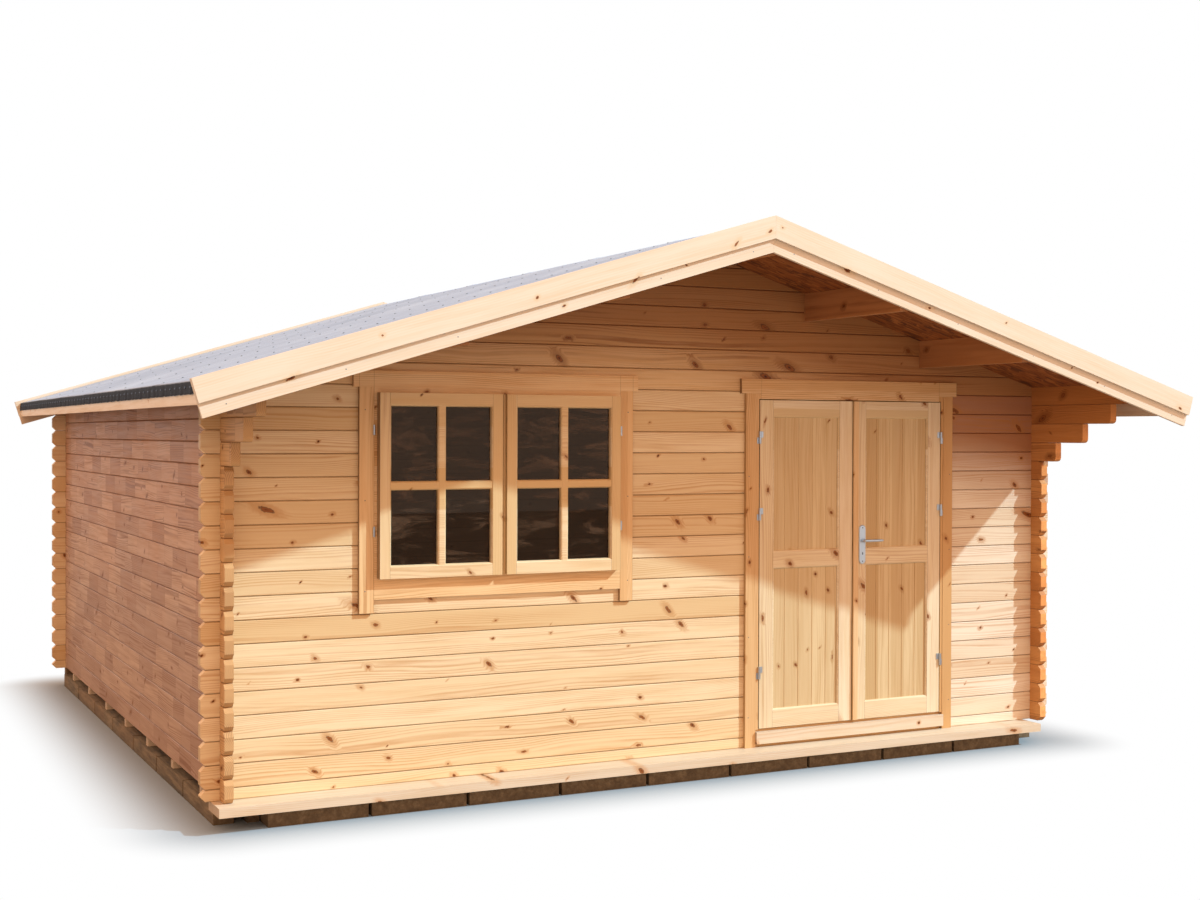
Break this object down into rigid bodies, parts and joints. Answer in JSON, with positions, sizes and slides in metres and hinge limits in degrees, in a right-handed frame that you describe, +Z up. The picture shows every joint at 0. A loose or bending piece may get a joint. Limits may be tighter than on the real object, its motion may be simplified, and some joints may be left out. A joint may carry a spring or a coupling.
{
  "type": "log cabin with a double door and a double window",
  "caption": "Garden log cabin of interlocking planed logs with corbelled eaves, a felt pitched roof, a double window and an outward-opening double door",
  "frame": {"origin": "middle of the rectangle that the roof covers, on the ground under the foundation", "axes": "+X to the right along the front wall seen from outside, +Y from the front to the back, +Z up"},
  "size_m": [5.738, 5.896, 2.9679],
  "materials": {
    "planed_log": "planed spruce, satin",
    "joinery": "planed spruce, satin",
    "door_board": "planed spruce, satin",
    "sawn_timber": "sawn spruce, matt",
    "weathered_timber": "treated timber, matt",
    "floor_board": "planed spruce, matt",
    "strand_board": "pressed strand board, matt",
    "roofing_felt": "mineral felt, matt",
    "window_glass": "clear pane, glossy",
    "silver_fitting": "brushed, silver"
  },
  "bodies": {
    "cabin": {"foundation_front": "sawn_timber", "foundation_front_blocks": "weathered_timber", "foundation_back": "weathered_timber", "foundation_left": "weathered_timber", "foundation_right": "weathered_timber", "foundation_shims": "sawn_timber", "floor_joists": "sawn_timber", "floor": "floor_board", "front_wall_lower": "planed_log", "front_wall_left": "planed_log", "front_wall_middle": "planed_log", "front_wall_right": "planed_log", "front_gable": "planed_log", "back_wall": "planed_log", "back_gable": "planed_log", "left_wall": "planed_log", "right_wall": "planed_log", "left_wall_plate": "planed_log", "right_wall_plate": "planed_log", "purlins": "planed_log", "roof_deck_left": "strand_board", "roof_deck_right": "strand_board", "roof_felt_left": "roofing_felt", "roof_felt_right": "roofing_felt", "eave_fascias": "joinery", "front_bargeboards": "joinery", "front_bargeboard_trims": "joinery", "back_bargeboards": "joinery", "back_bargeboard_trims": "joinery", "window_frame": "joinery", "window_sash_left": "joinery", "window_sash_right": "joinery", "window_glass": "window_glass", "window_hinges": "silver_fitting", "window_trim": "joinery", "door_frame": "joinery", "door_frame_hinges": "silver_fitting", "door_trim": "joinery", "door_threshold": "joinery"},
    "left_door": {"left_door_frame": "joinery", "left_door_panels": "door_board", "left_door_hinges": "silver_fitting"},
    "right_door": {"right_door_frame": "joinery", "right_door_panels": "door_board", "right_door_hinges": "silver_fitting", "door_cover_strip": "joinery", "door_handle_plates": "silver_fitting"},
    "lever": {"door_lever": "silver_fitting"}
  },
  "joints": [
    {"name": "left_door_hinge", "type": "hinge", "parent": "cabin", "child": "left_door", "pos_m": [0.487, -2.055, 1.133], "axis": [0, 0, -1], "range_deg": [0, 110]},
    {"name": "right_door_hinge", "type": "hinge", "parent": "cabin", "child": "right_door", "pos_m": [1.763, -2.055, 1.133], "axis": [0, 0, 1], "range_deg": [0, 110]},
    {"name": "lever_turn", "type": "hinge", "parent": "right_door", "child": "lever", "pos_m": [1.1925, -2.048, 1.271], "axis": [0, 1, 0], "range_deg": [0, 40], "stiffness_Nm_per_rad": 0.6}
  ]
}
